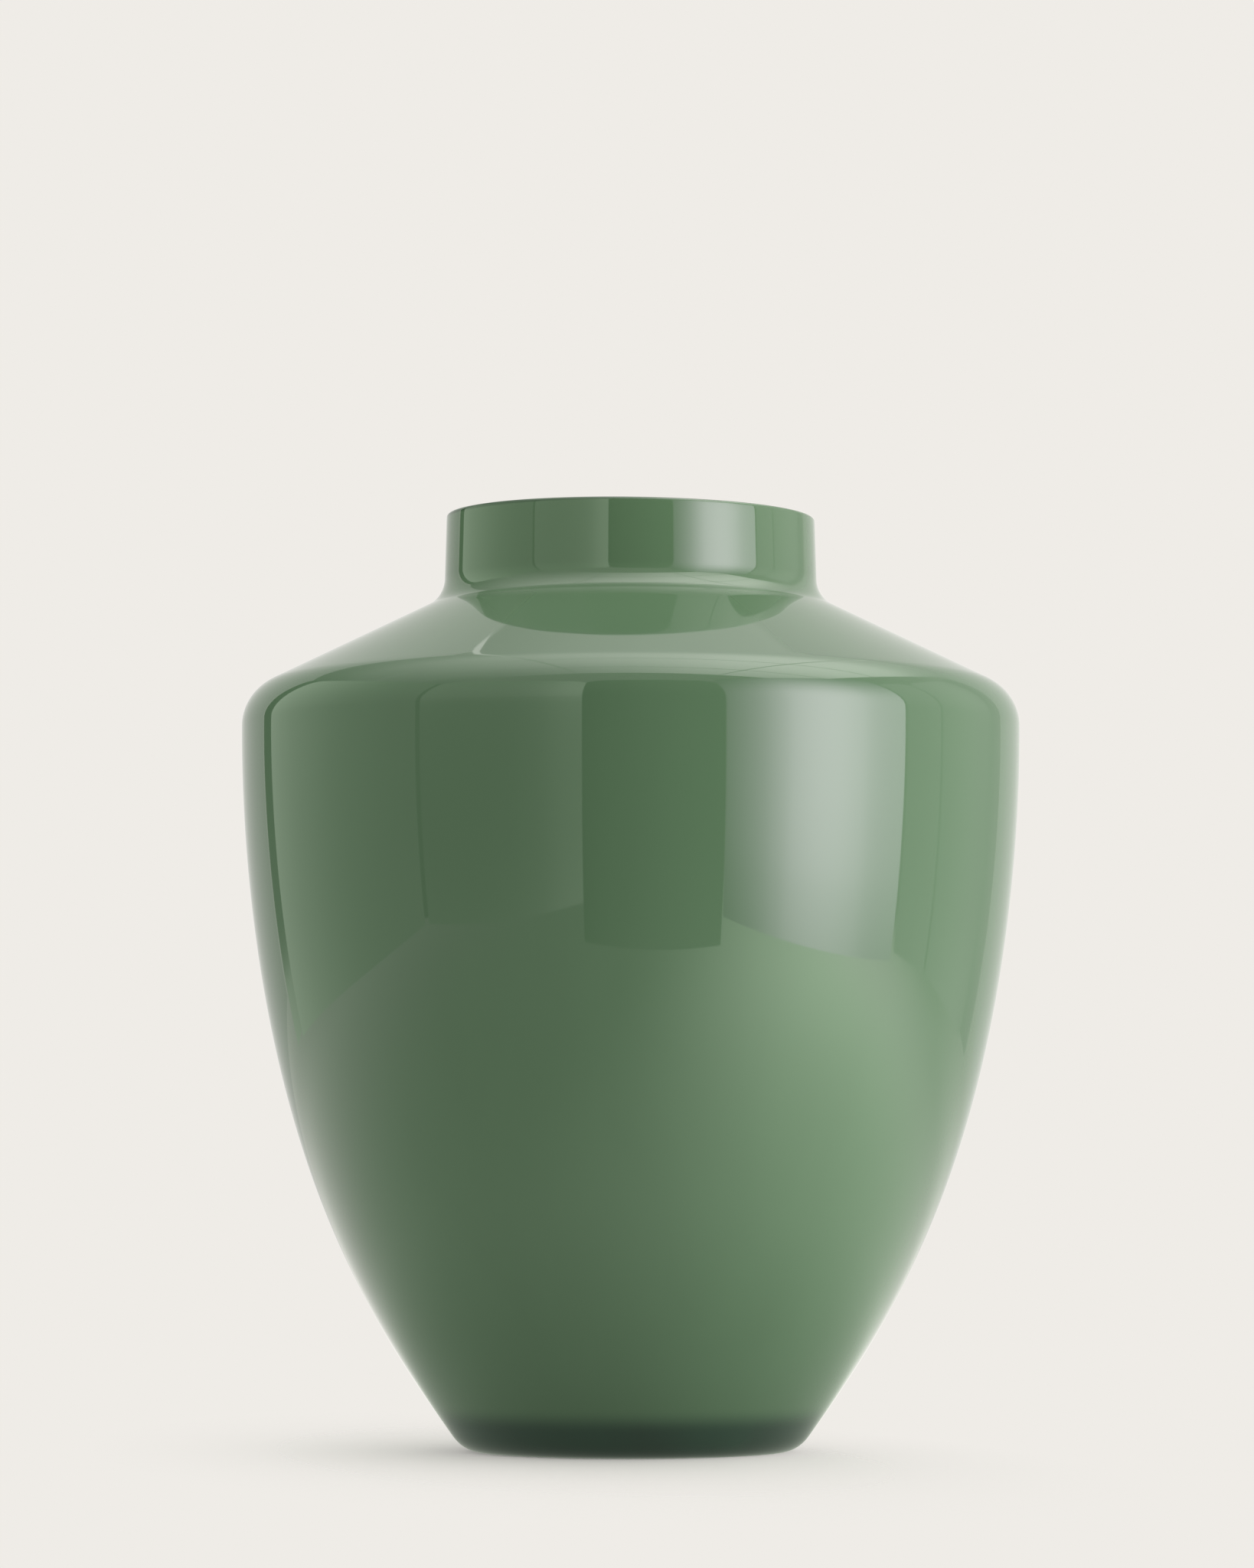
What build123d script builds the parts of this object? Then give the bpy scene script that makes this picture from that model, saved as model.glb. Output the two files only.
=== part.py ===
"""Mouth-blown cased glass vase: a rounded body, a sloping shoulder and a short straight neck.

Three layers of glass are fused face to face and do not move against each other:
the green casing outside, the opal lining inside, and the thick gather that forms the base.

Units are millimetres. The origin is the centre of the resting face and +Z points up, through the
middle of the mouth. Every outline is drawn as radius and height, and revolved about +Z.
"""

import os
from math import cos, pi, radians, sin, tan

from build123d import *

# overall
height = 300.0
body_diameter = 250.2

# neck and rim
neck_height = 26.4  # rim down to where the neck would meet the shoulder without its fillet
neck_diameter = 120.0  # just above the shoulder
neck_taper = 1.2  # how much narrower the rim is than that
neck_fillet = 10.4
rim_rounding = 1.0

# shoulder
shoulder_angle = 26.0  # fall of the shoulder, from horizontal
shoulder_rounding = 16.0

# belly, from the widest place down to the foot
belly_hold = 30.0  # how far the belly keeps its full width before it turns in
foot_diameter = 106.8  # where the belly would meet the table without its rounding
foot_angle = 35.7  # lean of the belly at the foot, from vertical
lean_stop = 5.9  # how far short of the full width the lean's own line stops, along itself
foot_rounding = 11.0

# glass
casing_wall = 1.5
lining_wall = 2.4
lining_floor = 3.0
base_thickness = 12.0
heel_rounding = 14.0  # inside corner, where the lining turns from wall to floor

# ground hollow under the base
hollow_diameter = 76.0
hollow_depth = 1.5

slope = radians(shoulder_angle)
shoulder_turn = pi / 2 - slope  # from the slope to upright
lean = radians(foot_angle)
lean_length = (body_diameter - foot_diameter) / 2 / sin(lean) - lean_stop


def on_slope(start, distance):
    """The point a distance up and inwards from start, along the shoulder."""
    return start[0] - distance * cos(slope), start[1] + distance * sin(slope)


def on_lean(foot, distance):
    """The point a distance up and outwards from the foot, along the belly's lean."""
    return foot[0] + distance * sin(lean), foot[1] + distance * cos(lean)


def wall_face(inset):
    """Half section of the vessel, filled to its axis, with its wall moved in by inset."""
    radius = body_diameter / 2
    rim = (neck_diameter - neck_taper) / 2 - inset
    neck = rim if inset else neck_diameter / 2

    # shoulder: an arc from upright to the slope, with the same centre for every layer
    slope_top = height - neck_height
    slope_foot = slope_top - (radius - neck_diameter / 2) * tan(slope)
    widest = slope_foot - shoulder_rounding * tan(shoulder_turn / 2)
    centre = (radius - shoulder_rounding, widest)
    corner = shoulder_rounding - inset
    widest_point = (radius - inset, widest)
    shoulder_point = (centre[0] + corner * sin(slope), centre[1] + corner * cos(slope))

    # neck: the slope runs to the neck's own line, and a fillet joins them
    meeting = on_slope(shoulder_point, (shoulder_point[0] - neck) / cos(slope))
    fillet_run = (neck_fillet + inset) * tan(shoulder_turn / 2)
    slope_end = on_slope(meeting, -fillet_run)
    neck_start = (neck, meeting[1] + fillet_run)

    # belly: one curve whose handles move in with the wall
    foot = (foot_diameter / 2 - inset * cos(lean), inset * sin(lean))
    low_handle = on_lean(foot, lean_length / 2)
    lean_handle = on_lean(foot, lean_length)
    hold_handle = (radius - inset, widest - belly_hold)

    outline = [
        Line((0, foot[1]), foot),
        Bezier(foot, low_handle, lean_handle, hold_handle, widest_point),
        TangentArc(widest_point, shoulder_point, tangent=(0, 1)),
        Line(shoulder_point, slope_end),
        TangentArc(slope_end, neck_start, tangent=(-cos(slope), sin(slope))),
        Line(neck_start, (rim, height)) if inset else TangentArc(neck_start, (rim, height), tangent=(0, 1)),
        Line((rim, height), (0, height)),
        Line((0, height), (0, foot[1])),
    ]
    return make_face(Wire(outline))


def above(level):
    """A sheet that covers the half section above a level."""
    size = height + body_diameter
    return Pos(0, level + size / 2) * Rectangle(2 * size, size)


def corners(face, level):
    """A half section's corners on a level, from the axis outwards."""
    return face.vertices().filter_by_position(Axis.Y, level - 0.001, level + 0.001).sort_by(Axis.X)


def outer_corner(face, level):
    """The half section's corner furthest from the axis on a level."""
    return corners(face, level)[-1]


def inner_corner(face, level):
    """The half section's corner nearest to the axis on a level."""
    return corners(face, level)[0]


def lining_outline():
    """Outer half section of the lining, standing on the base, with its heel rounded."""
    face = wall_face(casing_wall) & above(base_thickness)
    return fillet(outer_corner(face, base_thickness), heel_rounding)


def cavity_outline():
    """Half section of the space inside, standing on the lining's floor, with its heel rounded."""
    floor = base_thickness + lining_floor
    face = wall_face(casing_wall + lining_wall) & above(floor)
    return fillet(outer_corner(face, floor), heel_rounding - lining_floor)


def turned(face):
    """The solid that a half section makes when it is revolved about the vase's axis."""
    return revolve(Plane.XZ * face, Axis.Z, 360)


def green_casing():
    """The coloured outside layer, from the base's top face to the rim."""
    face = (wall_face(0) & above(base_thickness)) - lining_outline()
    return turned(fillet(outer_corner(face, height), rim_rounding))


def opal_lining():
    """The white inside layer: a closed floor, the wall, and the bore of the neck."""
    face = lining_outline() - cavity_outline()
    return turned(fillet(inner_corner(face, height), rim_rounding))


def base_gather():
    """The thick dark glass under the other two, with a rounded foot and a ground hollow."""
    face = wall_face(0) - above(base_thickness)
    face = fillet(outer_corner(face, 0), foot_rounding)
    hollow_edge = (hollow_diameter / 2, 0)
    hollow_top = (0, hollow_depth)
    dome = TangentArc(hollow_top, hollow_edge, tangent=(1, 0))
    hollow = make_face(Wire([dome, Line(hollow_edge, (0, 0)), Line((0, 0), hollow_top)]))
    return turned(face - hollow)


os.makedirs("parts", exist_ok=True)
for make in (green_casing, opal_lining, base_gather):
    export_step(make(), f"parts/{make.__name__}.step")
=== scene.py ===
"""A mouth-blown cased glass vase on a pale floor: green casing, opal lining and a thick dark base.

Everything is in metres, in the frame of the CAD part: the origin is the centre of the resting face
and +Z runs up through the middle of the mouth.
"""

from math import atan2, cos, hypot, pi, radians, sin, tan

import bmesh
import bpy
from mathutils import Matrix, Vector, noise


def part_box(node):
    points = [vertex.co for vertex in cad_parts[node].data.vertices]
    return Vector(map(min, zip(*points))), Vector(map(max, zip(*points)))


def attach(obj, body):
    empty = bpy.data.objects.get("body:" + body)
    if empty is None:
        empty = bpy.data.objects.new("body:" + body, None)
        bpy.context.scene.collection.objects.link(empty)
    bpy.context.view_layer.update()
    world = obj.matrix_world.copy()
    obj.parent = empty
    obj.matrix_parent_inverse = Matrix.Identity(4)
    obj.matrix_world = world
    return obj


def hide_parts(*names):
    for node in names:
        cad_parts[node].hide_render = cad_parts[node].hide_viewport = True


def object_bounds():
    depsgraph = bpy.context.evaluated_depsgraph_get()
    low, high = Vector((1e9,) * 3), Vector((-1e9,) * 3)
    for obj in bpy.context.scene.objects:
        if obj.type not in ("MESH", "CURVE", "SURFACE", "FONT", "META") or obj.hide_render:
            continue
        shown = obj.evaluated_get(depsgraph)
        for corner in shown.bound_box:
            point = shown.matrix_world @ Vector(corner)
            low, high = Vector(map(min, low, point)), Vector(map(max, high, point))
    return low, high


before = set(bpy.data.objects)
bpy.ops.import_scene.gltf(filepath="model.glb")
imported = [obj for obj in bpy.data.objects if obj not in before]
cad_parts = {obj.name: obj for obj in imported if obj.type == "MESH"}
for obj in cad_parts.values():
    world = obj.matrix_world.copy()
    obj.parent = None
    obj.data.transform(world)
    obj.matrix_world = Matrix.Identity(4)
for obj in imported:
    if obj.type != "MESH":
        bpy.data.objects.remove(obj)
cad_low, cad_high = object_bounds()

MM = 0.001

# sizes of the glass, from the frame
HEIGHT = cad_high.z
BODY_RADIUS = cad_high.x
BASE_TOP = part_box("base_gather")[1].z

# neck and rim
NECK_HEIGHT = 26.4 * MM
NECK_RADIUS = 60.0 * MM
RIM_RADIUS = 59.4 * MM
NECK_FILLET = 10.4 * MM
RIM_ROUNDING = 1.0 * MM

# shoulder
SLOPE = radians(26.0)
SHOULDER_TURN = pi / 2 - SLOPE
SHOULDER_ROUNDING = 16.0 * MM

# belly and foot
BELLY_HOLD = 30.0 * MM
FOOT_RADIUS = 53.4 * MM
LEAN = radians(35.7)
LEAN_LENGTH = (BODY_RADIUS - FOOT_RADIUS) / sin(LEAN) - 5.9 * MM
FOOT_RUN = 5.6 * MM  # how much of the wall and of the base the foot's rounding takes

# layers
CASING_WALL = 1.5 * MM
LINING_WALL = 2.4 * MM
LINING_FLOOR = 3.0 * MM
CASING_HEEL_RUN = 7.3 * MM
CAVITY_HEEL_RUN = 5.7 * MM

# ground hollow under the base
HOLLOW_RADIUS = 38.0 * MM
HOLLOW_DEPTH = 1.5 * MM

# where the floor's soft shade lies: an oval, and how strongly it shows from its centre to its edge
SHADE_CENTRE = (-0.018, -0.040, 0)
SHADE_SIZE = (0.147, 0.357, 1)
SHADE_TURN = radians(12)
SHADE_STOPS = [
    (0.0, 0.80), (0.19, 0.70), (0.38, 0.50), (0.52, 0.35), (0.67, 0.17), (0.83, 0.07), (1.0, 0.0),
]

# hand work
TURNS = 224  # faces round the vase
WAVE_DEPTH = 0.08 * MM
WAVE_LENGTH = 45.0 * MM
WAVE_STRETCH = 0.6  # waves are longer up the wall than round it
RIM_TILT = radians(0.69)  # the rim is cut by hand and falls a little towards +X


# ---------------------------------------------------------------- outlines, as (radius, height)


def bezier(handles, steps):
    """Points along the Bezier curve that the handles draw."""
    points = []
    for step in range(steps + 1):
        share = step / steps
        row = [Vector(handle) for handle in handles]
        while len(row) > 1:
            row = [first.lerp(second, share) for first, second in zip(row, row[1:])]
        points.append(row[0])
    return points


def arc(centre, radius, start, turn, steps):
    """Points along an arc that starts at an angle and turns by another."""
    angles = [start + turn * step / steps for step in range(steps + 1)]
    return [Vector((centre[0] + radius * cos(a), centre[1] + radius * sin(a))) for a in angles]


def line(start, end, steps):
    """Evenly spaced points from start to end."""
    return [Vector(start).lerp(Vector(end), step / steps) for step in range(steps + 1)]


def joined(*runs):
    """One outline from runs that start where the last one ended."""
    points = list(runs[0])
    for run in runs[1:]:
        points += run[1:]
    return points


def wall(inset):
    """The wall's outline from foot to rim, moved in by inset."""
    rim = RIM_RADIUS - inset
    neck = rim if inset else NECK_RADIUS
    slope_foot = HEIGHT - NECK_HEIGHT - (BODY_RADIUS - NECK_RADIUS) * tan(SLOPE)
    widest = slope_foot - SHOULDER_ROUNDING * tan(SHOULDER_TURN / 2)
    centre = Vector((BODY_RADIUS - SHOULDER_ROUNDING, widest))

    lean = Vector((sin(LEAN), cos(LEAN)))
    foot = Vector((FOOT_RADIUS - inset * cos(LEAN), inset * sin(LEAN)))
    hold = Vector((BODY_RADIUS - inset, widest - BELLY_HOLD))
    top = Vector((BODY_RADIUS - inset, widest))
    belly = bezier([foot, foot + lean * LEAN_LENGTH / 2, foot + lean * LEAN_LENGTH, hold, top], 72)

    shoulder = arc(centre, SHOULDER_ROUNDING - inset, 0, SHOULDER_TURN, 18)
    rise = Vector((-cos(SLOPE), sin(SLOPE)))
    meeting = shoulder[-1] + rise * (shoulder[-1].x - neck) / cos(SLOPE)
    fillet = NECK_FILLET + inset
    run = fillet * tan(SHOULDER_TURN / 2)
    root = (neck + fillet, meeting.y + run)
    bend = arc(root, fillet, pi + SHOULDER_TURN, -SHOULDER_TURN, 16)
    slope = line(shoulder[-1], bend[0], 24)
    upright = line(bend[-1], (rim, HEIGHT), 10)
    return joined(belly, shoulder, slope, bend, upright)


def cup(inset, floor, heel):
    """A cup's outline: from the axis along its floor, round the heel and up the wall to the rim."""
    side = wall(inset)
    while side[1].y < floor:
        side.pop(0)
    share = (floor - side[0].y) / (side[1].y - side[0].y)
    corner = side[0].lerp(side[1], share)
    above = [point for point in side if point.y > floor + heel * cos(LEAN)]
    start = Vector((corner.x - heel, floor))
    return joined(line((0, floor), start, 8), bezier([start, corner, above[0]], 10), above)


def round_rim(outline, inwards):
    """Ends an outline with the rim's fire-polished edge, turned inwards (-1) or outwards (1)."""
    radius = outline[-1].x
    side = [point for point in outline if point.y < HEIGHT - RIM_ROUNDING * 1.5]
    centre = (radius + inwards * RIM_ROUNDING, HEIGHT - RIM_ROUNDING)
    start = 0 if inwards < 0 else pi
    return side + arc(centre, RIM_ROUNDING, start, -inwards * pi / 2, 8)


def level_point(outline, level):
    """The point where an outline that rises crosses a level."""
    for low, high in zip(outline, outline[1:]):
        if low.y <= level < high.y:
            return low.lerp(high, (level - low.y) / (high.y - low.y))


# ---------------------------------------------------------------- meshes


def hand_blown(point):
    """Moves a point as the maker's hand did: faint waves in the wall and a slightly tilted rim."""
    turn = atan2(point.y, point.x)
    radius = hypot(point.x, point.y)
    if radius > 1e-6:
        place = Vector((cos(turn) * BODY_RADIUS, sin(turn) * BODY_RADIUS, point.z * WAVE_STRETCH))
        fade = min(1.0, radius / FOOT_RADIUS)
        wave = noise.noise(place / WAVE_LENGTH) * WAVE_DEPTH * fade
        point.x += cos(turn) * wave
        point.y += sin(turn) * wave
    neck_root = HEIGHT - NECK_HEIGHT
    if point.z > neck_root:
        point.z -= tan(RIM_TILT) * point.x * (point.z - neck_root) / NECK_HEIGHT


def turned(name, outline, closed):
    """A piece of glass spun from its outline about the vase's axis."""
    shape = bmesh.new()
    dots = [shape.verts.new((point.x, 0, point.y)) for point in outline]
    pairs = list(zip(dots, dots[1:]))
    if closed:
        pairs.append((dots[-1], dots[0]))
    wires = [shape.edges.new(pair) for pair in pairs]
    bmesh.ops.spin(
        shape, geom=dots + wires, cent=(0, 0, 0), axis=(0, 0, 1), dvec=(0, 0, 0),
        angle=2 * pi, steps=TURNS, use_merge=True, use_duplicate=False,
    )
    bmesh.ops.remove_doubles(shape, verts=shape.verts, dist=0.001 * MM)
    bmesh.ops.recalc_face_normals(shape, faces=shape.faces)
    for vert in shape.verts:
        hand_blown(vert.co)
    for face in shape.faces:
        face.smooth = True
    for edge in shape.edges:
        edge.smooth = edge.calc_face_angle(0) < radians(30)
    mesh = bpy.data.meshes.new(name)
    shape.to_mesh(mesh)
    shape.free()
    piece = bpy.data.objects.new(name, mesh)
    bpy.context.collection.objects.link(piece)
    return piece


def make_casing():
    """The green outside layer: up the wall, over the rim and down against the lining."""
    outside = [point for point in round_rim(wall(0), -1) if point.y > BASE_TOP + 0.1 * MM]
    inside = cup(CASING_WALL, BASE_TOP, CASING_HEEL_RUN)[8:]
    corner = level_point(wall(0), BASE_TOP)
    return turned("vase_casing", [corner] + outside + inside[::-1], closed=True)


def make_lining():
    """The opal cup inside the casing."""
    cavity = cup(CASING_WALL + LINING_WALL, BASE_TOP + LINING_FLOOR, CAVITY_HEEL_RUN)
    inside = round_rim(cavity, 1)
    outside = cup(CASING_WALL, BASE_TOP, CASING_HEEL_RUN)
    return turned("vase_lining", inside + outside[::-1], closed=False)


def make_base():
    """The thick base: a ground hollow, the ring it stands on, the rounded foot and a flat top."""
    side = [point for point in cup(0, 0, FOOT_RUN)[8:] if point.y < BASE_TOP - 0.1 * MM]
    sphere = (HOLLOW_RADIUS**2 + HOLLOW_DEPTH**2) / (2 * HOLLOW_DEPTH)
    half_turn = atan2(HOLLOW_RADIUS, sphere - HOLLOW_DEPTH)
    hollow = arc((0, HOLLOW_DEPTH - sphere), sphere, pi / 2, -half_turn, 12)
    corner = level_point(wall(0), BASE_TOP)
    ring = line((HOLLOW_RADIUS, 0), side[0], 3)
    outline = joined(hollow, ring, side) + [corner, Vector((0, BASE_TOP))]
    return turned("vase_base", outline, closed=False)


# ---------------------------------------------------------------- materials


def new_material(name):
    """A node material with its output and a Principled shader."""
    material = bpy.data.materials.new(name)
    material.use_nodes = True
    return material, material.node_tree.nodes, material.node_tree.links


def make_height_blend():
    """Node group: 0 below a height, 1 above it, with a soft step between."""
    group = bpy.data.node_groups.new("height_blend", "ShaderNodeTree")
    for label in ("Height", "Softness"):
        group.interface.new_socket(label, in_out="INPUT", socket_type="NodeSocketFloat")
    group.interface.new_socket("Mask", in_out="OUTPUT", socket_type="NodeSocketFloat")
    nodes, links = group.nodes, group.links
    given = nodes.new("NodeGroupInput")
    result = nodes.new("NodeGroupOutput")
    place = nodes.new("ShaderNodeTexCoord")
    axes = nodes.new("ShaderNodeSeparateXYZ")
    low = nodes.new("ShaderNodeMath")
    low.operation = "SUBTRACT"
    high = nodes.new("ShaderNodeMath")
    high.operation = "ADD"
    step = nodes.new("ShaderNodeMapRange")
    step.interpolation_type = "SMOOTHERSTEP"
    links.new(place.outputs["Object"], axes.inputs[0])
    for node in (low, high):
        links.new(given.outputs["Height"], node.inputs[0])
        links.new(given.outputs["Softness"], node.inputs[1])
    links.new(axes.outputs["Z"], step.inputs["Value"])
    links.new(low.outputs[0], step.inputs["From Min"])
    links.new(high.outputs[0], step.inputs["From Max"])
    links.new(step.outputs["Result"], result.inputs["Mask"])
    return group


def make_blown_surface():
    """Node group: cords, faint cloudiness and a normal with the small waves of blown glass."""
    group = bpy.data.node_groups.new("blown_surface", "ShaderNodeTree")
    group.interface.new_socket("Color", in_out="INPUT", socket_type="NodeSocketColor")
    group.interface.new_socket("Cord Color", in_out="INPUT", socket_type="NodeSocketColor")
    group.interface.new_socket("Wave", in_out="INPUT", socket_type="NodeSocketFloat")
    group.interface.new_socket("Color", in_out="OUTPUT", socket_type="NodeSocketColor")
    group.interface.new_socket("Roughness", in_out="OUTPUT", socket_type="NodeSocketFloat")
    group.interface.new_socket("Normal", in_out="OUTPUT", socket_type="NodeSocketVector")
    nodes, links = group.nodes, group.links
    given = nodes.new("NodeGroupInput")
    result = nodes.new("NodeGroupOutput")
    place = nodes.new("ShaderNodeTexCoord")

    stretch = nodes.new("ShaderNodeMapping")
    stretch.inputs["Scale"].default_value = (34, 34, 7)  # cords run up the wall
    cords = nodes.new("ShaderNodeTexNoise")
    cords.inputs["Scale"].default_value = 1.0
    cords.inputs["Detail"].default_value = 3.0
    cords.inputs["Distortion"].default_value = 0.6
    amount = nodes.new("ShaderNodeMapRange")
    amount.inputs["From Min"].default_value = 0.35
    amount.inputs["From Max"].default_value = 0.75
    blend = nodes.new("ShaderNodeMix")
    blend.data_type = "RGBA"
    links.new(place.outputs["Object"], stretch.inputs["Vector"])
    links.new(stretch.outputs["Vector"], cords.inputs["Vector"])
    links.new(cords.outputs["Fac"], amount.inputs["Value"])
    links.new(amount.outputs["Result"], blend.inputs["Factor"])
    links.new(given.outputs["Color"], blend.inputs["A"])
    links.new(given.outputs["Cord Color"], blend.inputs["B"])
    links.new(blend.outputs["Result"], result.inputs["Color"])

    film = nodes.new("ShaderNodeTexNoise")
    film.inputs["Scale"].default_value = 55.0
    film.inputs["Detail"].default_value = 4.0
    gloss = nodes.new("ShaderNodeMapRange")
    gloss.inputs["From Min"].default_value = 0.3
    gloss.inputs["From Max"].default_value = 0.8
    gloss.inputs["To Min"].default_value = 0.02
    gloss.inputs["To Max"].default_value = 0.045
    links.new(place.outputs["Object"], film.inputs["Vector"])
    links.new(film.outputs["Fac"], gloss.inputs["Value"])
    links.new(gloss.outputs["Result"], result.inputs["Roughness"])

    ripple = nodes.new("ShaderNodeTexNoise")
    ripple.inputs["Scale"].default_value = 1.0
    ripple.inputs["Detail"].default_value = 1.0
    bump = nodes.new("ShaderNodeBump")
    bump.inputs["Distance"].default_value = 0.05 * MM
    links.new(stretch.outputs["Vector"], ripple.inputs["Vector"])
    links.new(given.outputs["Wave"], bump.inputs["Strength"])
    links.new(ripple.outputs["Fac"], bump.inputs["Height"])
    links.new(bump.outputs["Normal"], result.inputs["Normal"])
    return group


CASING_GREEN = (0.0665, 0.1200, 0.0675, 1)
CORD_GREEN = (0.0635, 0.1150, 0.0645, 1)
# painted light: a paler green from the shoulder up that stands in for the extra light falling on
# the neck
PAINTED_NECK_LIGHT_GREEN = (0.0700, 0.1270, 0.0690, 1)
DEEP_GREEN = (0.0140, 0.0390, 0.0245, 1)
DEEP_CORD = (0.012, 0.028, 0.019, 1)
GROUND_GREEN = (0.12, 0.16, 0.13, 1)
RIM_GREEN = (0.030, 0.065, 0.032, 1)
OPAL_WHITE = (0.74, 0.78, 0.72, 1)
OPAL_CORD = (0.70, 0.75, 0.68, 1)

# heights at which the green changes, and half the width of each soft step
BASE_EDGE = {"Height": BASE_TOP + 0.2 * MM, "Softness": 4.6 * MM}
RIM_EDGE = {"Height": HEIGHT - 0.6 * MM, "Softness": 0.5 * MM}
# painted light: above this height the green is painted paler, where the neck catches more light
PAINTED_NECK_LIGHT_EDGE = {"Height": 0.258, "Softness": 0.026}
GROUND_EDGE = {"Height": 0.15 * MM, "Softness": 0.1 * MM}


def place_group(nodes, group, **values):
    """A node group in a material, with its own values."""
    node = nodes.new("ShaderNodeGroup")
    node.node_tree = group
    for label, value in values.items():
        node.inputs[label.replace("_", " ")].default_value = value
    return node


def mix_colours(nodes, links, mask, first, second):
    """Mixes two colours, each a socket or a plain colour, by a mask."""
    node = nodes.new("ShaderNodeMix")
    node.data_type = "RGBA"
    links.new(mask, node.inputs["Factor"])
    for label, colour in (("A", first), ("B", second)):
        if isinstance(colour, tuple):
            node.inputs[label].default_value = colour
        else:
            links.new(colour, node.inputs[label])
    return node.outputs["Result"]


def green_glass(blown, height_blend):
    """Clear green glass over opal: deep at the foot and on the rim; painted light makes it paler
    from the shoulder up.
    """
    material, nodes, links = new_material("green_cased_glass")
    shader = nodes["Principled BSDF"]
    shader.inputs["IOR"].default_value = 1.5
    surface = place_group(nodes, blown, Color=CASING_GREEN, Cord_Color=CORD_GREEN, Wave=0.5)
    foot = place_group(nodes, height_blend, **BASE_EDGE)
    rim = place_group(nodes, height_blend, **RIM_EDGE)
    # painted light on the neck: a paler green from the shoulder up
    painted_neck_light = place_group(nodes, height_blend, **PAINTED_NECK_LIGHT_EDGE)
    colour = mix_colours(nodes, links, painted_neck_light.outputs["Mask"], surface.outputs["Color"], PAINTED_NECK_LIGHT_GREEN)
    colour = mix_colours(nodes, links, foot.outputs["Mask"], DEEP_GREEN, colour)
    colour = mix_colours(nodes, links, rim.outputs["Mask"], colour, RIM_GREEN)
    links.new(colour, shader.inputs["Base Color"])
    links.new(surface.outputs["Roughness"], shader.inputs["Roughness"])
    links.new(surface.outputs["Normal"], shader.inputs["Normal"])
    return material


def opal_glass(blown):
    """White opal glass, glossy inside the vase."""
    material, nodes, links = new_material("opal_white_glass")
    shader = nodes["Principled BSDF"]
    shader.inputs["IOR"].default_value = 1.5
    surface = place_group(nodes, blown, Color=OPAL_WHITE, Cord_Color=OPAL_CORD, Wave=0.8)
    links.new(surface.outputs["Color"], shader.inputs["Base Color"])
    links.new(surface.outputs["Roughness"], shader.inputs["Roughness"])
    links.new(surface.outputs["Normal"], shader.inputs["Normal"])
    return material


def base_glass(blown, height_blend):
    """Thick green glass with nothing white behind it, polished, with a ground ring underneath."""
    material, nodes, links = new_material("thick_base_glass")
    shader = nodes["Principled BSDF"]
    shader.inputs["IOR"].default_value = 1.5
    surface = place_group(nodes, blown, Color=DEEP_GREEN, Cord_Color=DEEP_CORD, Wave=0.5)
    upper = place_group(nodes, height_blend, **BASE_EDGE)
    ground = place_group(nodes, height_blend, **GROUND_EDGE)
    deep = surface.outputs["Color"]
    colour = mix_colours(nodes, links, upper.outputs["Mask"], deep, CASING_GREEN)
    colour = mix_colours(nodes, links, ground.outputs["Mask"], GROUND_GREEN, colour)
    rough = nodes.new("ShaderNodeMix")
    rough.inputs["A"].default_value = 0.55
    links.new(ground.outputs["Mask"], rough.inputs["Factor"])
    links.new(surface.outputs["Roughness"], rough.inputs["B"])
    links.new(colour, shader.inputs["Base Color"])
    links.new(rough.outputs["Result"], shader.inputs["Roughness"])
    links.new(surface.outputs["Normal"], shader.inputs["Normal"])
    return material


# ---------------------------------------------------------------- studio

PAPER = (0.863, 0.839, 0.799, 1)
COOL_WHITE = (1.04, 0.97, 1.05, 1)
PLAIN_WHITE = (1.0, 0.985, 0.95, 1)
GREENISH_WHITE = (0.88, 1.0, 0.82, 1)
PALE_WHITE = (1.02, 1.0, 0.95, 1)

# how far the upright edges of a card stand from the vase's axis
KEY_REACH = 0.88
CARD_REACH = 0.95
SEAM_REACH = 1.00  # dim cards that show through the gaps between the others
DARK_REACH = 0.72
CORNER_ROUNDING = 0.08

CEILING = 1.2
CEILING_LEFT = -1.4
CEILING_RIGHT = 1.0
CEILING_FRONT = -0.71
CEILING_BACK = 1.0
CEILING_GLOW = 6.7
SEAM = 0.012
SEAM_DROP = 0.01
SEAM_GLOW = 1.6
SEAMS_ACROSS = (0.08, -0.38)
SEAMS_AWAY = (-0.25, 0.44)

# Brightness along a card or the ceiling, as (place, share).
CEILING_ACROSS = [(0.0, 0.15), (0.21, 0.22), (0.44, 0.45), (0.58, 0.69), (0.81, 1.0), (1.0, 0.83)]
CEILING_AWAY = [
    (0.0, 0.52), (0.08, 0.59), (0.21, 0.69), (0.33, 0.75), (0.47, 0.67),
    (0.62, 0.52), (0.77, 0.30), (0.89, 0.20), (1.0, 0.17),
]
KEY_ACROSS = [
    (0.0, 0.14), (0.16, 0.32), (0.28, 0.56), (0.40, 0.80),
    (0.52, 0.86), (0.66, 0.75), (0.8, 0.54), (1.0, 0.41),
]
KEY_UP = [
    (0.0, 0.60), (0.06, 0.74), (0.14, 0.93), (0.24, 1.0),
    (0.38, 1.0), (0.64, 0.69), (0.78, 0.47), (1.0, 0.22),
]
GAP_UP = [(0.0, 1.0), (0.06, 0.8), (0.14, 0.2), (1.0, 0.13)]
LEFT_ACROSS = [(0.0, 0.50), (0.55, 0.51), (0.72, 0.63), (0.88, 0.9), (1.0, 1.0)]
LEFT_UP = [
    (0.0, 0.68), (0.07, 0.58), (0.14, 0.53), (0.28, 0.55), (0.36, 0.78), (0.44, 1.0), (1.0, 0.95),
]
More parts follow.
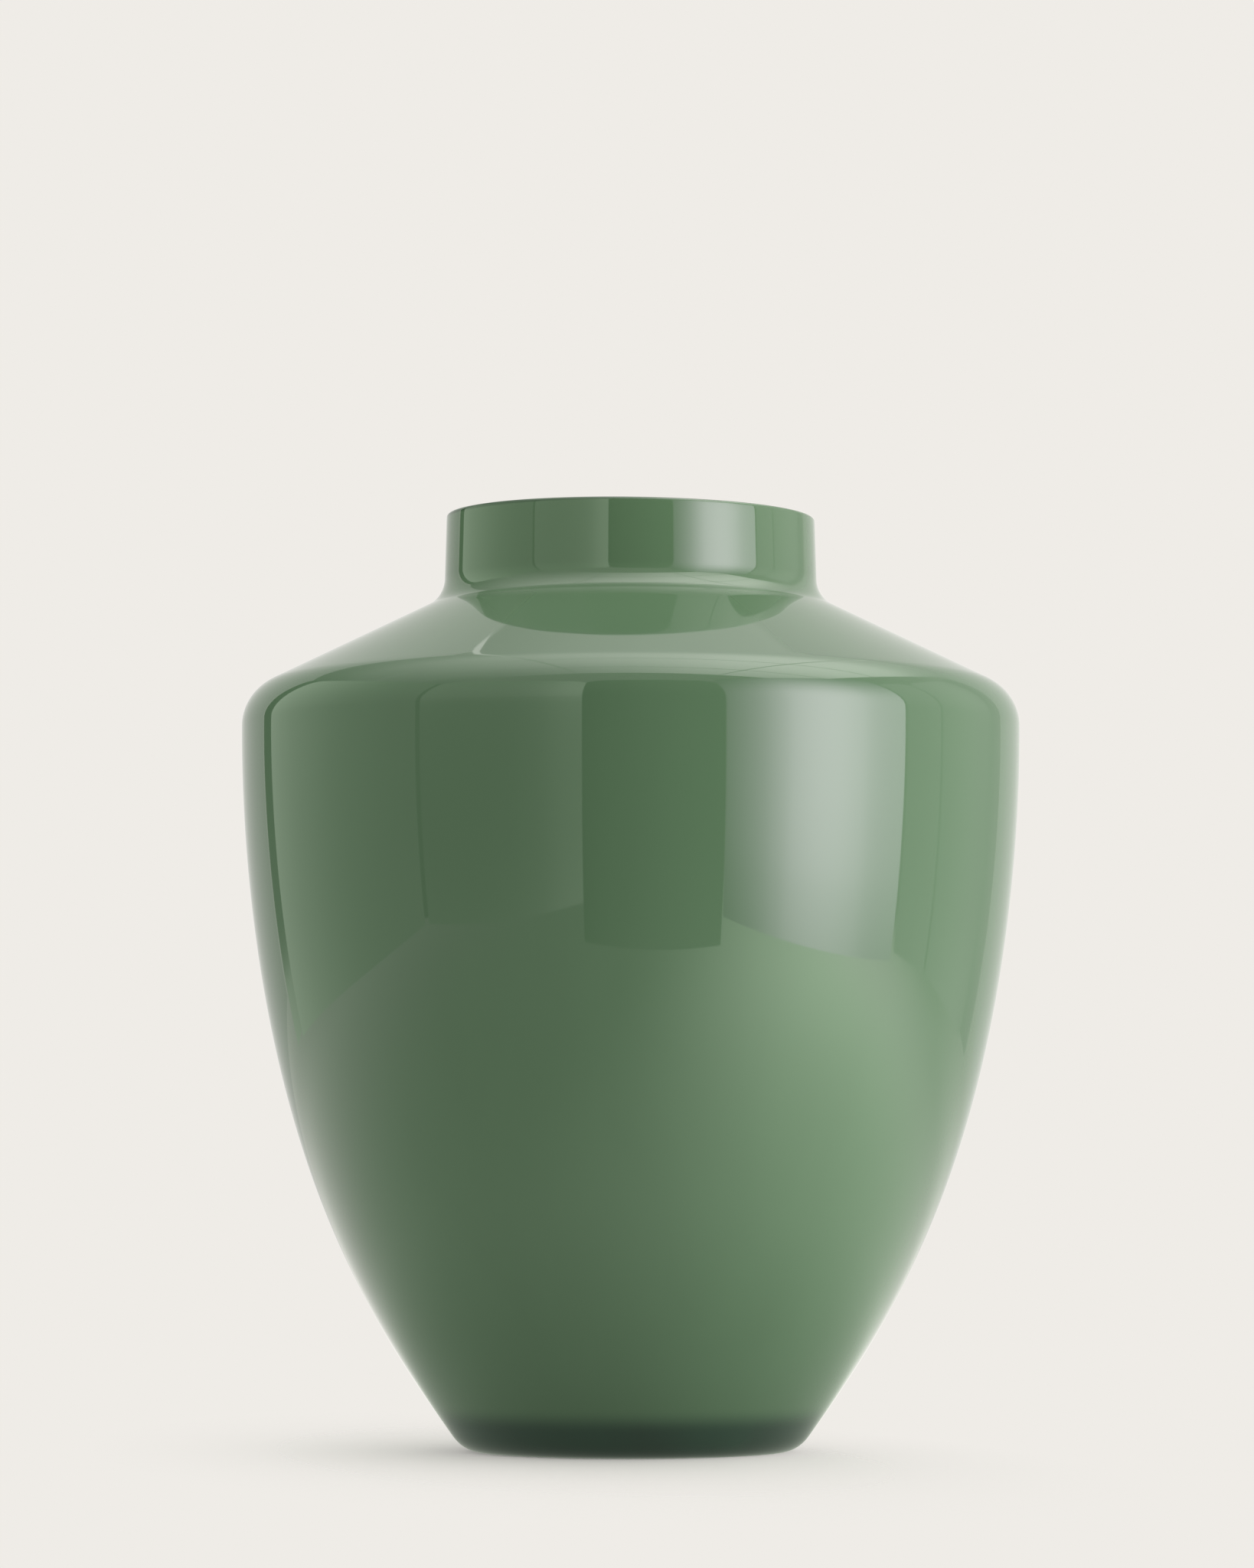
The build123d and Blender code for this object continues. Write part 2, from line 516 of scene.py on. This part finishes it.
FAR_UP = [(0.0, 1.0), (0.07, 0.93), (0.16, 0.87), (0.3, 0.88), (0.44, 1.0), (1.0, 1.0)]
RIGHT_FAR_ACROSS = [(0, 1.0), (0.5, 0.95), (1.0, 0.66)]
LEFT_FAR_ACROSS = [(0, 1.0), (0.3, 1.0), (0.7, 0.72), (1.0, 0.66)]
BACK_ACROSS = [(0.0, 0.97), (0.35, 0.92), (0.5, 0.93), (0.65, 0.80), (1.0, 0.72)]
DARK_ACROSS = [(0.0, 0.45), (0.4, 0.85), (1.0, 1.0)]
DARK_UP = [(0.0, 1.0), (0.1, 0.75), (0.25, 0.55), (1.0, 0.5)]

FLOOR_RADIUS = 0.5
LIT_FLOOR_RADIUS = 3.0

# Brightness over the lit floor, as (centre, where it starts to change, where it stops, from, to).
SPILL = ((0.69, -0.47, 0), 0.0, 0.75, 3.2, 0.0)
PLAIN = ((-0.20, -0.80, 0), 0.45, 1.10, 0.68, 1.13)
NEAR = ((0.32, -0.20, 0), 0.10, 0.50, 0.70, 0.0)
FOOT_SHADE = ((0, 0, 0), 0.05, 0.20, 0.55, 1.0)
CONTACT_SHADE = ((0, 0, 0), 0.048, 0.090, 0.70, 1.0)
BEYOND = ((0, -0.30, 0), 0.80, 1.30, 1.0, 0.82)
PALE_AWAY = ((0.10, -0.55, 0), 0.45, 0.85, 0.0, 1.0)
DIFFUSE_SHARE = 0.74  # how much of the lit floor's glow counts as plain light on the glass

CAMERA_PLACE = (-0.0012, -1.8509, 0.0906)
CAMERA_TILT = radians(93.806)
LENS = 132.23


def set_world():
    """An even pale surround."""
    world = bpy.data.worlds.new("studio")
    world.use_nodes = True
    world.node_tree.nodes["Background"].inputs["Color"].default_value = PAPER
    world.node_tree.nodes["Background"].inputs["Strength"].default_value = 1.0
    bpy.context.scene.world = world


def flat_sheet(name, corners, rounding=0.0):
    """A flat sheet through its corners, the last two rounded, with a UV map from 0 to 1."""
    shape = bmesh.new()
    face = shape.faces.new([shape.verts.new(corner) for corner in corners])
    start = Vector(corners[0])
    sides = (Vector(corners[1]) - start, Vector(corners[-1]) - start)
    if rounding:
        top = list(face.verts)[2:4]
        bmesh.ops.bevel(
            shape, geom=top, offset=rounding, segments=8, profile=0.5,
            affect="VERTICES", material=-1,
        )
    layer = shape.loops.layers.uv.new("UVMap")
    for face in shape.faces:
        for loop in face.loops:
            place = loop.vert.co - start
            loop[layer].uv = [place.dot(side) / side.length_squared for side in sides]
    mesh = bpy.data.meshes.new(name)
    shape.to_mesh(mesh)
    shape.free()
    sheet = bpy.data.objects.new(name, mesh)
    bpy.context.collection.objects.link(sheet)
    return sheet


def bearing(degrees_right, distance, height):
    """A point round the vase: 0 degrees is in front, towards the camera, and 90 is on its right."""
    a = radians(degrees_right)
    return (distance * sin(a), -distance * cos(a), height)


def ramp(nodes, links, source, stops):
    """A smooth curve of strengths along a 0 to 1 coordinate, as a float."""
    node = nodes.new("ShaderNodeFloatCurve")
    curve = node.mapping.curves[0]
    curve.points[0].location = stops[0]
    curve.points[1].location = stops[-1]
    for stop in stops[1:-1]:
        curve.points.new(*stop)
    node.mapping.update()
    links.new(source, node.inputs["Value"])
    return node.outputs["Value"]


def glow_material(name, colour, strength, across=None, up=None):
    """Light given off by a card, even or with a curve across and a curve up."""
    material, nodes, links = new_material(name)
    nodes.remove(nodes["Principled BSDF"])
    glow = nodes.new("ShaderNodeEmission")
    glow.inputs["Color"].default_value = colour
    glow.inputs["Strength"].default_value = strength
    links.new(glow.outputs[0], nodes["Material Output"].inputs["Surface"])
    if across or up:
        axes = nodes.new("ShaderNodeSeparateXYZ")
        place = nodes.new("ShaderNodeUVMap")
        place.uv_map = "UVMap"
        links.new(place.outputs["UV"], axes.inputs[0])
        total = None
        for axis, stops in (("X", across), ("Y", up)):
            if not stops:
                continue
            share = ramp(nodes, links, axes.outputs[axis], stops)
            total = multiplied(nodes, links, share, strength if total is None else total)
        links.new(total, glow.inputs["Strength"])
    return material


def multiplied(nodes, links, first, second):
    """The product of a socket and a socket or number."""
    product = nodes.new("ShaderNodeMath")
    product.operation = "MULTIPLY"
    links.new(first, product.inputs[0])
    if isinstance(second, float):
        product.inputs[1].default_value = second
    else:
        links.new(second, product.inputs[1])
    return product.outputs[0]


def added(nodes, links, first, second):
    """The sum of two sockets."""
    total = nodes.new("ShaderNodeMath")
    total.operation = "ADD"
    links.new(first, total.inputs[0])
    links.new(second, total.inputs[1])
    return total.outputs[0]


def card(name, bearings, reach, heights, colour, strength, across=None, up=None):
    """An upright card that shows only in the gloss, from one bearing to another."""
    left, right = bearings
    low, high = heights
    corners = [
        bearing(left, reach, low), bearing(right, reach, low),
        bearing(right, reach, high), bearing(left, reach, high),
    ]
    sheet = flat_sheet(name, corners, CORNER_ROUNDING)
    sheet.data.materials.append(glow_material(name, colour, strength, across, up))
    only_in_gloss(sheet)


def only_in_gloss(sheet):
    """Hides a sheet from everything but reflections."""
    sheet.visible_camera = False
    sheet.visible_diffuse = False
    sheet.visible_transmission = False
    sheet.visible_volume_scatter = False
    sheet.visible_shadow = False


def lamp(name, place, aim, size, power, colour, lit):
    """A soft square light that doesn't show in the gloss, and lights only some things."""
    data = bpy.data.lights.new(name, "AREA")
    data.shape = "RECTANGLE"
    data.size, data.size_y = size
    data.energy = power
    data.color = colour[:3]
    light = bpy.data.objects.new(name, data)
    light.location = place
    light.rotation_euler = (Vector(aim) - Vector(place)).to_track_quat("-Z", "Y").to_euler()
    light.visible_glossy = False
    light.visible_camera = False
    light.light_linking.receiver_collection = lit
    bpy.context.collection.objects.link(light)


def distance_from(nodes, links, centre):
    """How far a point is from a centre, in metres."""
    place = nodes.new("ShaderNodeTexCoord")
    gap = nodes.new("ShaderNodeVectorMath")
    gap.operation = "DISTANCE"
    gap.inputs[1].default_value = centre
    links.new(place.outputs["Object"], gap.inputs[0])
    return gap.outputs["Value"]


def fall_off(nodes, links, centre, near, far, at_centre, outside):
    """A value that runs smoothly from one at the centre to another outside."""
    step = nodes.new("ShaderNodeMapRange")
    step.interpolation_type = "SMOOTHSTEP"
    step.inputs["From Min"].default_value = near
    step.inputs["From Max"].default_value = far
    step.inputs["To Min"].default_value = at_centre
    step.inputs["To Max"].default_value = outside
    links.new(distance_from(nodes, links, centre), step.inputs["Value"])
    return step.outputs["Result"]


def level_disc(name, radius, height):
    """A flat round sheet that faces up."""
    shape = bmesh.new()
    bmesh.ops.create_circle(shape, cap_ends=True, segments=128, radius=radius)
    bmesh.ops.translate(shape, verts=shape.verts, vec=(0, 0, height))
    mesh = bpy.data.meshes.new(name)
    shape.to_mesh(mesh)
    shape.free()
    disc = bpy.data.objects.new(name, mesh)
    bpy.context.collection.objects.link(disc)
    return disc


def make_floor():
    """Pale paper that shows only where the vase shades it, and melts into the surround."""
    floor = level_disc("floor", FLOOR_RADIUS, 0)
    material, nodes, links = new_material("floor_paper")
    shader = nodes["Principled BSDF"]
    shader.inputs["Base Color"].default_value = (0.99, 0.99, 0.99, 1)
    shader.inputs["Roughness"].default_value = 1.0
    shader.inputs["Specular IOR Level"].default_value = 0.0
    place = nodes.new("ShaderNodeTexCoord")
    oval = nodes.new("ShaderNodeMapping")
    oval.vector_type = "TEXTURE"
    oval.inputs["Location"].default_value = SHADE_CENTRE
    oval.inputs["Rotation"].default_value = (0, 0, SHADE_TURN)
    oval.inputs["Scale"].default_value = SHADE_SIZE
    reach = nodes.new("ShaderNodeVectorMath")
    reach.operation = "LENGTH"
    links.new(place.outputs["Object"], oval.inputs["Vector"])
    links.new(oval.outputs["Vector"], reach.inputs[0])
    share = ramp(nodes, links, reach.outputs["Value"], SHADE_STOPS)
    side = nodes.new("ShaderNodeNewGeometry")
    upper = nodes.new("ShaderNodeMath")
    upper.operation = "SUBTRACT"
    upper.inputs[0].default_value = 1.0
    links.new(side.outputs["Backfacing"], upper.inputs[1])
    links.new(multiplied(nodes, links, share, upper.outputs[0]), shader.inputs["Alpha"])
    floor.data.materials.append(material)
    floor.visible_glossy = False
    floor.visible_diffuse = False


def make_lit_floor():
    """The floor as the glass sees it: brighter towards the key card, shaded close to the foot."""
    lit = level_disc("lit_floor", LIT_FLOOR_RADIUS, -0.2 * MM)
    material, nodes, links = new_material("lit_floor")
    nodes.remove(nodes["Principled BSDF"])
    glow = nodes.new("ShaderNodeEmission")
    links.new(glow.outputs[0], nodes["Material Output"].inputs["Surface"])
    spill = fall_off(nodes, links, *SPILL)
    plain = fall_off(nodes, links, *PLAIN)
    near = fall_off(nodes, links, *NEAR)
    total = added(nodes, links, added(nodes, links, spill, plain), near)
    foot = fall_off(nodes, links, *FOOT_SHADE)
    contact = fall_off(nodes, links, *CONTACT_SHADE)
    beyond = fall_off(nodes, links, *BEYOND)
    shade = multiplied(nodes, links, foot, contact)
    shown = multiplied(nodes, links, multiplied(nodes, links, total, shade), beyond)
    away = fall_off(nodes, links, *PALE_AWAY)
    links.new(mix_colours(nodes, links, away, GREENISH_WHITE, PALE_WHITE), glow.inputs["Color"])
    path = nodes.new("ShaderNodeLightPath")
    dimming = nodes.new("ShaderNodeMapRange")
    dimming.inputs["To Min"].default_value = 1.0
    dimming.inputs["To Max"].default_value = DIFFUSE_SHARE
    links.new(path.outputs["Is Diffuse Ray"], dimming.inputs["Value"])
    links.new(multiplied(nodes, links, shown, dimming.outputs["Result"]), glow.inputs["Strength"])
    lit.data.materials.append(material)
    lit.visible_camera = False
    lit.visible_transmission = False
    lit.visible_shadow = False


def level_sheet(name, left, right, front, back, height):
    """A level sheet between two sides and two ends, which shows only in the gloss."""
    near = [(left, front, height), (right, front, height)]
    sheet = flat_sheet(name, near + [(right, back, height), (left, back, height)])
    only_in_gloss(sheet)
    return sheet


def make_ceiling():
    """A ceiling of pale cloth panels, brightest on the key card's side, with narrow seams."""
    sides = (CEILING_LEFT, CEILING_RIGHT)
    ends = (CEILING_FRONT, CEILING_BACK)
    ceiling = level_sheet("ceiling", *sides, *ends, CEILING)
    glow = glow_material("ceiling", PLAIN_WHITE, CEILING_GLOW, CEILING_ACROSS, CEILING_AWAY)
    ceiling.data.materials.append(glow)
    spans = [sides + (y - SEAM / 2, y + SEAM / 2) for y in SEAMS_ACROSS]
    spans += [(x - SEAM / 2, x + SEAM / 2) + ends for x in SEAMS_AWAY]
    for number, span in enumerate(spans, 1):
        name = "ceiling_seam_%d" % number
        seam = level_sheet(name, *span, CEILING - SEAM_DROP)
        seam.data.materials.append(glow_material(name, PLAIN_WHITE, SEAM_GLOW))


def collection_of(name, *things):
    """A named collection that light can be linked to."""
    group = bpy.data.collections.new(name)
    for thing in things:
        group.objects.link(thing)
    return group


def make_camera():
    """A long lens from the front, below the middle of the vase and tilted up a little."""
    data = bpy.data.cameras.new("camera")
    data.sensor_width = 36.0
    data.lens = LENS
    data.clip_start = 0.1
    data.clip_end = 20.0
    camera = bpy.data.objects.new("camera", data)
    camera.location = CAMERA_PLACE
    camera.rotation_euler = (CAMERA_TILT, 0, 0)
    bpy.context.collection.objects.link(camera)
    bpy.context.scene.camera = camera


# ---------------------------------------------------------------- the scene

casing = make_casing()
lining = make_lining()
base = make_base()

blown_surface = make_blown_surface()
height_blend = make_height_blend()
casing.data.materials.append(green_glass(blown_surface, height_blend))
lining.data.materials.append(opal_glass(blown_surface))
base.data.materials.append(base_glass(blown_surface, height_blend))

for piece, node, slot in (
    (casing, "green_casing", "green_glass"),
    (lining, "opal_lining", "opal_glass"),
    (base, "base_gather", "base_glass"),
):
    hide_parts(node)
    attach(piece, "root")

set_world()
make_floor()
make_camera()

vase_glass = collection_of("vase_glass", casing, lining, base)

card("key_card", (25.9, 81.6), KEY_REACH, (0.0, 0.95), COOL_WHITE, 9.5, KEY_ACROSS, KEY_UP)
card("right_card", (83.0, 97.0), CARD_REACH, (0.0, 0.87), PLAIN_WHITE, 1.33, up=FAR_UP)
card("right_seam_card", (96.0, 101.0), SEAM_REACH, (0.0, 0.86), PLAIN_WHITE, 0.85)
card(
    "right_far_card", (98.0, 125.0), CARD_REACH, (0.0, 0.87), PLAIN_WHITE, 1.25,
    RIGHT_FAR_ACROSS, FAR_UP,
)
card("right_gap_card", (124.0, 133.0), SEAM_REACH, (0.0, 0.9), PLAIN_WHITE, 0.7)
card(
    "left_card", (-59.6, -13.0), CARD_REACH, (0.0, 0.87), GREENISH_WHITE, 1.98,
    LEFT_ACROSS, LEFT_UP,
)
card("left_seam_card", (-63.0, -57.0), SEAM_REACH, (0.0, 0.86), GREENISH_WHITE, 0.30)
card(
    "left_far_card", (-124.7, -61.0), CARD_REACH, (0.0, 0.85), GREENISH_WHITE, 1.14,
    LEFT_FAR_ACROSS, FAR_UP,
)
card("left_gap_card", (-130.6, -123.0), SEAM_REACH, (0.0, 0.9), GREENISH_WHITE, 1.0, up=GAP_UP)
card(
    "dark_card", (-12.7, 25.2), DARK_REACH, (0.0, 0.73), GREENISH_WHITE, 0.56,
    DARK_ACROSS, DARK_UP,
)
card("back_card", (136.0, 226.0), 1.6, (0.0, 1.35), PLAIN_WHITE, 1.0, BACK_ACROSS)
make_ceiling()
make_lit_floor()

MIDDLE = (0, 0, 0.15)
lamp("key_light", bearing(68, 1.1, 0.35), MIDDLE, (0.8, 0.8), 13.3, PLAIN_WHITE, vase_glass)
lamp("fill_light", bearing(-90, 1.1, 0.3), MIDDLE, (0.8, 0.8), 5.6, PLAIN_WHITE, vase_glass)
lamp("top_light", (0, 0, 1.15), MIDDLE, (0.6, 0.6), 6.0, PLAIN_WHITE, vase_glass)

bpy.context.scene.view_settings.view_transform = "Standard"
